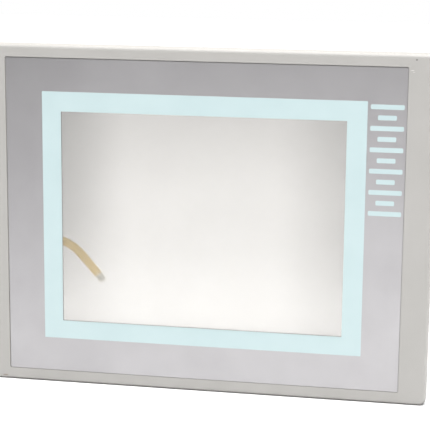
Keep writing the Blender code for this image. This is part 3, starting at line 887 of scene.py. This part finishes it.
def window_finish():
    made, tree, where = start_sheet("anti_glare_film")
    through = tree.nodes.new("ShaderNodeBsdfTransparent")
    glow = tree.nodes.new("ShaderNodeBsdfTranslucent")
    front = tree.nodes.new("ShaderNodeBsdfDiffuse")
    gloss = tree.nodes.new("ShaderNodeBsdfGlossy")
    # painted shade: the film is darkened towards its sides and upper part, and below the middle
    shade = painted_window_shade(tree, where)
    for colour, shader in ((WINDOW_TINT, through), (WINDOW_GLOW, glow)):
        tree.links.new(blend_colours(tree, shade, BLACK, colour), shader.inputs["Color"])
    feed(tree, front.inputs["Color"], WINDOW_FRONT)
    gloss.inputs["Roughness"].default_value = WINDOW_ROUGHNESS
    haze = mix_shaders(tree, WINDOW_FRONT_SHARE, glow, front)
    share = remap(tree, clouds(tree, where, 30 * MM), *MOST, *WINDOW_CLEAR)
    clear = mix_shaders(tree, share, haze, through)
    shine = tree.nodes.new("ShaderNodeFresnel")
    shine.inputs["IOR"].default_value = FILM_IOR
    show(tree, mix_shaders(tree, shine.outputs["Fac"], clear, gloss))
    return made


bm = bmesh.new()
rounded_face(bm, WINDOW_WIDTH - 2 * WINDOW_GAP, WINDOW_HEIGHT - 2 * WINDOW_GAP, WINDOW_CORNER,
             at_depth(foil_low.y + WINDOW_SINK))
make_piece("foil_window", bm, window_finish())

# %% [markdown]
# The touch sensor's film and glass lie behind it, both clear, each with a weak reflection.

# %% Sensor layers
GLOSS_SPREAD = 0.02


def clear_finish(name, tint, roughness, mirror):
    """A clear sheet: straight through, with a weak mirror on top."""
    made, tree, where = start_sheet(name)
    through = tree.nodes.new("ShaderNodeBsdfTransparent")
    feed(tree, through.inputs["Color"], tint)
    gloss = tree.nodes.new("ShaderNodeBsdfGlossy")
    gloss.inputs["Roughness"].default_value = roughness
    share = remap(tree, clouds(tree, where, 12 * MM), *MOST, mirror, mirror + GLOSS_SPREAD)
    show(tree, mix_shaders(tree, share, through, gloss))
    return made


dress(["touch_film"], clear_finish("conductive_film", (0.985, 0.98, 0.965), 0.1, 0.01))
dress(["touch_glass"], clear_finish("sensor_glass", (0.975, 0.985, 0.975), 0.03, 0.02))

# %% [markdown]
# ## Rubber, foam and adhesive
# The soft parts are near black and dull. Foam shows its open cells, rubber a fine bloom.

# %% Soft finishes
SOFT_PATCH = (0.35, 0.7)
SOFT_ROUGH_SPREAD = 0.06


def soft_finish(name, dark, light, roughness, pebble, depth, patch=6 * MM):
    made, tree, shader, where = start_finish(name, dark, roughness)
    patches = clouds(tree, where, patch, detail=5.0)
    tree.links.new(blend_colours(tree, remap(tree, patches, *SOFT_PATCH), dark, light),
                   shader.inputs["Base Color"])
    rough = remap(tree, patches, *MOST, roughness - SOFT_ROUGH_SPREAD,
                  roughness + SOFT_ROUGH_SPREAD)
    tree.links.new(rough, shader.inputs["Roughness"])
    relief(tree, shader, cells(tree, where, pebble), depth)
    return made


RUBBER = soft_finish("seal_rubber", (0.018, 0.018, 0.019), (0.035, 0.034, 0.033), 0.62,
                     0.25 * MM, 0.01 * MM)
FOAM = soft_finish("cellular_foam", (0.022, 0.022, 0.024), (0.045, 0.044, 0.044), 0.9,
                   0.35 * MM, 0.12 * MM)
dress(["glass_tape"], FOAM)
dress(["foil_adhesive", "touch_spacer"],
      soft_finish("white_adhesive", (0.62, 0.61, 0.58), (0.70, 0.69, 0.66), 0.5,
                  0.4 * MM, 0.01 * MM))

# %% [markdown]
# ## Mounting seal
# The seal in the flange's rear groove is a rubber ring with two lips that meet the cabinet sheet.
# Its cross-section is drawn as a list of points, each a share of the ring's width and height. Each
# point gives one rounded outline, and every outline is bridged to the next one.

# %% Lipped seal
SEAL_WIDE = 0.0031
SEAL_CORNERS = (0.0036, 0.0052)      # inner and outer corner
SEAL_SECTION = ((0.0, 0.0), (0.0, 0.80), (0.06, 0.95), (0.18, 1.0), (0.30, 0.95), (0.40, 0.78),
                (0.50, 0.72), (0.60, 0.78), (0.70, 0.95), (0.82, 1.0), (0.94, 0.95),
                (1.0, 0.80), (1.0, 0.0))


def lipped_seal():
    low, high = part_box("mounting_seal")
    bm = bmesh.new()
    rings = []
    for across, back in SEAL_SECTION:
        inset = 2 * (1 - across) * SEAL_WIDE
        corner = SEAL_CORNERS[0] + across * (SEAL_CORNERS[1] - SEAL_CORNERS[0])
        rings.append(rounded_loop(bm, high.x - low.x - inset, high.z - low.z - inset, corner,
                                  at_depth(low.y + back * (high.y - low.y))))
    bridge_rings(bm, rings, closed=True)
    make_piece("lipped_seal", bm, RUBBER, replaces=["mounting_seal"])


lipped_seal()

# %% [markdown]
# ## Display gasket
# The foam frame is cut from strip: two long strips run the whole width, two short ones fit between
# them, and the joints show. Each strip is a block with its cut edges rounded a little.

# %% Foam strips
STRIP_WIDE = 0.0040
STRIP_JOINT = 0.00015
STRIP_ROUND = 0.00022


def foam_strips():
    low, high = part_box("display_gasket")
    middle = (low + high) / 2
    thick = high.y - low.y
    wide, tall = high.x - low.x, high.z - low.z
    bm = bmesh.new()
    for side in (-1, 1):
        level = Vector((middle.x, middle.y, middle.z + side * (tall - STRIP_WIDE) / 2))
        upright = Vector((middle.x + side * (wide - STRIP_WIDE) / 2, middle.y, middle.z))
        short = tall - 2 * STRIP_WIDE - 2 * STRIP_JOINT
        for place, size in ((level, (wide, thick, STRIP_WIDE)),
                            (upright, (STRIP_WIDE, thick, short))):
            add_block(bm, Matrix.Translation(place), size)
    soften(bm, list(bm.edges), STRIP_ROUND)
    make_piece("foam_strips", bm, FOAM, replaces=["display_gasket"])


foam_strips()

# %% [markdown]
# ## Metal and nylon
# Brass inserts, zinc-plated clamp brackets, bright set screws and black nylon shoes.

# %% Metal finishes
BRIGHTER, DULLER = 0.08, 0.10        # how far roughness strays to either side
CLAMPS = range(1, 5)


def metal_finish(name, dark, light, roughness, patch, scratch_depth, metallic=1.0):
    made, tree, shader, where = start_finish(name, light, roughness, metallic)
    patches = clouds(tree, where, patch, detail=6.0)
    tree.links.new(blend_colours(tree, remap(tree, patches, *PATCH), dark, light),
                   shader.inputs["Base Color"])
    rough = remap(tree, patches, *MOST, roughness - BRIGHTER, roughness + DULLER)
    tree.links.new(rough, shader.inputs["Roughness"])
    relief(tree, shader, clouds(tree, where, 0.15 * MM, detail=6.0), scratch_depth)
    return made


BRASS = metal_finish("turned_brass", (0.56, 0.40, 0.17), (0.74, 0.56, 0.27), 0.28, 1.5 * MM,
                     0.008 * MM)
ZINC = metal_finish("zinc_plate", (0.55, 0.57, 0.59), (0.64, 0.65, 0.66), 0.44, 1.2 * MM,
                    0.012 * MM)
STEEL = metal_finish("bright_steel", (0.42, 0.42, 0.43), (0.56, 0.56, 0.57), 0.30, 1 * MM,
                     0.008 * MM)
NYLON = metal_finish("black_nylon", (0.020, 0.020, 0.021), (0.034, 0.034, 0.034), 0.48,
                     2 * MM, 0.015 * MM, metallic=0.0)
dress([f"clamp_{number}_bracket" for number in CLAMPS], ZINC)

# %% [markdown]
# ## Threaded inserts
# Each brass insert is turned from bar, with two bands of knurling that bite into the plastic and a
# plain groove between them, and a threaded bore. The profile of its wall is spun once round the
# axis. Every second column of points on the knurled bands then moves inwards, which leaves
# straight teeth.

# %% Knurled inserts
INSERTS = range(1, 11)
INSERT_COLUMNS = 48
INSERT_BORE = 0.00125
INSERT_TURNS = 7
KNURL_DEPTH = 0.00015
INSERT_CHAMFER = 0.00025
BORE_CHAMFER = 0.00030
BORE_THREAD = 0.00018
GROOVE_DEPTH = 0.0004
ROUND_ONCE = 2 * math.pi
AXIS = Vector((0.0, 1.0, 0.0))


def spun(bm, profile, columns):
    """Turn a closed profile, given as (radius, depth) pairs, once about the Y axis."""
    verts = [bm.verts.new((radius, depth, 0.0)) for radius, depth in profile]
    edges = [bm.edges.new((a, b)) for a, b in zip(verts, [*verts[1:], verts[0]])]
    bmesh.ops.spin(bm, geom=verts + edges, cent=MIDDLE, axis=AXIS, dvec=MIDDLE,
                   angle=ROUND_ONCE, steps=columns, use_merge=True)


def column_of(vert, columns):
    """Which of the columns round the axis a point stands in."""
    return round(math.atan2(vert.co.z, vert.co.x) / ROUND_ONCE * columns) % columns


def insert_profile(outer, bore, depth):
    """Wall of an insert from its rear face at 0 to its buried end at minus depth."""
    inner = [(bore + BORE_CHAMFER, 0.0), (bore, -BORE_CHAMFER)]
    pitch = (depth - 2 * BORE_CHAMFER) / INSERT_TURNS
    for turn in range(INSERT_TURNS):
        crest = -BORE_CHAMFER - (turn + 0.5) * pitch
        inner += [(bore + BORE_THREAD, crest), (bore, crest - pitch / 2)]
    band = depth / 2 - GROOVE_DEPTH
    return [*inner, (bore + BORE_CHAMFER, -depth), (outer - INSERT_CHAMFER, -depth),
            (outer, -depth + INSERT_CHAMFER), (outer, -depth + band),
            (outer - GROOVE_DEPTH, -depth / 2 - GROOVE_DEPTH / 2),
            (outer - GROOVE_DEPTH, -depth / 2 + GROOVE_DEPTH / 2), (outer, -band),
            (outer, -INSERT_CHAMFER), (outer - INSERT_CHAMFER, 0.0)]


def insert_piece(name):
    low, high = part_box(name)
    outer = (high.x - low.x) / 2
    bm = bmesh.new()
    spun(bm, insert_profile(outer, INSERT_BORE, high.y - low.y), INSERT_COLUMNS)
    for vert in bm.verts:
        radius = math.hypot(vert.co.x, vert.co.z)
        if radius > outer - KNURL_DEPTH / 2 and column_of(vert, INSERT_COLUMNS) % 2:
            share = 1 - KNURL_DEPTH / radius
            vert.co.x *= share
            vert.co.z *= share
    middle = (low + high) / 2
    bmesh.ops.translate(bm, vec=(middle.x, high.y, middle.z), verts=bm.verts)
    make_piece("knurled_" + name, bm, BRASS, replaces=[name], smooth=20.0)


for number in INSERTS:
    insert_piece(f"insert_{number}")

# %% [markdown]
# ## Set screws
# Four M3 set screws press the shoes on the cabinet sheet. A thread is a helix: one tooth of its
# profile, a pitch high, is spun about the axis while it climbs by a pitch a turn. Flat cuts close
# its two ends, a small cone leads in, and the hexagon socket is sunk in the rear end.

# %% Threaded screws
PITCH = 0.0005
THREAD_DEPTH = 0.00027
THREAD_STEPS = 18
THREAD_LEAD = 0.0003
HEX_RADIUS = 0.00078
HEX_DEPTH = 0.0018
TIP_RADIUS = 0.0010
TIP_LENGTH = 0.0015
TIP_CHAMFER = 0.0001
CREST_FALL = 0.00003         # crests stay this far inside the full radius
CREST_FROM, CREST_TO = 0.44, 0.56    # flat crest, as shares of the pitch
SOCKET_REACH = 1.01          # edges within this share of the socket's radius are its rim


def thread_skin(bm, radius, low, high):
    """Helical skin of a thread about the Y axis, open at both ends, cut flat at low and high."""
    turns = math.ceil((high - low) / PITCH) + 2
    crest, root = radius - CREST_FALL, radius - THREAD_DEPTH
    tooth = [(root, 0.0), (crest, CREST_FROM * PITCH), (crest, CREST_TO * PITCH), (root, PITCH)]
    verts = [bm.verts.new((out, low - PITCH + along, 0.0)) for out, along in tooth]
    edges = [bm.edges.new(pair) for pair in zip(verts, verts[1:])]
    bmesh.ops.spin(bm, geom=verts + edges, cent=MIDDLE, axis=AXIS,
                   dvec=AXIS * PITCH / THREAD_STEPS, angle=ROUND_ONCE * turns,
                   steps=THREAD_STEPS * turns, use_merge=False)
    bmesh.ops.remove_doubles(bm, verts=bm.verts, dist=10 * LEVEL)
    cut_plane(bm, AXIS * low, -AXIS, clear=True)
    cut_plane(bm, AXIS * high, AXIS, clear=True)


def edges_at(edges, place):
    """Those edges that lie in the plane at one depth."""
    return [edge for edge in edges if isinstance(edge, bmesh.types.BMEdge)
            and all(abs(vert.co.y - place) < LEVEL for vert in edge.verts)]


def end_edges(bm, place):
    """Boundary edges that lie in one flat end."""
    return [edge for edge in edges_at(bm.edges, place) if edge.is_boundary]


def grow_end(bm, edges, radius, place):
    """Extrude an open end to a circle of some radius at another depth; gives its new edges."""
    grown = bmesh.ops.extrude_edge_only(bm, edges=edges)["geom"]
    for vert in new_verts(grown):
        share = radius / math.hypot(vert.co.x, vert.co.z)
        vert.co = (vert.co.x * share, place, vert.co.z * share)
    return edges_at(grown, place)


def hexagon(vert, radius, place):
    """Move a point of a circle onto a hexagon."""
    angle = math.atan2(vert.co.z, vert.co.x)
    from_flat = (angle % (math.pi / 3)) - math.pi / 6
    reach = radius * math.cos(math.pi / 6) / math.cos(from_flat)
    vert.co = (reach * math.cos(angle), place, reach * math.sin(angle))


def sink_socket(bm, edges, place):
    """Close the rear end with a hexagon socket."""
    for depth, radius in ((0.0, HEX_RADIUS), (HEX_DEPTH, HEX_RADIUS)):
        grown = bmesh.ops.extrude_edge_only(bm, edges=edges)["geom"]
        for vert in new_verts(grown):
            hexagon(vert, radius, place - depth)
        edges = [edge for edge in edges_at(grown, place - depth)
                 if max(math.hypot(vert.co.x, vert.co.z) for vert in edge.verts)
                 < SOCKET_REACH * radius]
    bmesh.ops.holes_fill(bm, edges=edges, sides=0)


def screw_piece(number):
    name = f"clamp_{number}_screw"
    low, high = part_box(name)
    radius = (high.x - low.x) / 2
    root = radius - THREAD_DEPTH
    length = high.y - low.y
    bm = bmesh.new()
    thread_skin(bm, radius, TIP_LENGTH + THREAD_LEAD, length - THREAD_LEAD)
    rear = grow_end(bm, end_edges(bm, length - THREAD_LEAD), root, length)
    sink_socket(bm, rear, length)
    front = grow_end(bm, end_edges(bm, TIP_LENGTH + THREAD_LEAD), root, TIP_LENGTH)
    front = grow_end(bm, front, TIP_RADIUS, TIP_LENGTH)
    front = grow_end(bm, front, TIP_RADIUS, TIP_CHAMFER)
    front = grow_end(bm, front, TIP_RADIUS - TIP_CHAMFER, 0.0)
    bmesh.ops.holes_fill(bm, edges=front, sides=0)
    middle = (low + high) / 2
    bmesh.ops.translate(bm, vec=(middle.x, low.y, middle.z), verts=bm.verts)
    make_piece(f"threaded_screw_{number}", bm, STEEL, body=f"clamp_{number}_set_screw",
               replaces=[name], smooth=30.0)


for number in CLAMPS:
    screw_piece(number)

# %% [markdown]
# ## Clamp shoes
# A shoe is moulded nylon: a small rounded block with ribs across the face that bears on the
# cabinet sheet. The block's upright edges are rounded, the bearing face is split into strips, and
# every second strip is pushed in a little.

# %% Clamp shoes
SHOE_ROUND = 0.00072
SHOE_STRIPS = 9
SHOE_GROOVE = 0.00018
GROOVE_EDGE = 0.00012


def shoe_piece(number):
    name = f"clamp_{number}_pad"
    low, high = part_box(name)
    size = high - low
    middle = (low + high) / 2
    bm = bmesh.new()
    add_block(bm, Matrix.Identity(4), size)
    upright = [edge for edge in bm.edges
               if abs((edge.verts[0].co - edge.verts[1].co).normalized().y) > FLAT]
    soften(bm, upright, SHOE_ROUND, 3)
    for step in range(1, SHOE_STRIPS):
        place = -size.x / 2 + size.x * step / SHOE_STRIPS
        cut_plane(bm, (place, 0.0, 0.0), (1.0, 0.0, 0.0))
    grooves = [face for face in bm.faces if face.normal.y < -FLAT
               and int((face.calc_center_median().x + size.x / 2) / size.x * SHOE_STRIPS) % 2]
    bmesh.ops.inset_individual(bm, faces=grooves, thickness=GROOVE_EDGE, depth=-SHOE_GROOVE)
    bmesh.ops.translate(bm, vec=middle, verts=bm.verts)
    make_piece(f"ribbed_shoe_{number}", bm, NYLON, body=f"clamp_{number}_shoe", replaces=[name])


for number in CLAMPS:
    shoe_piece(number)
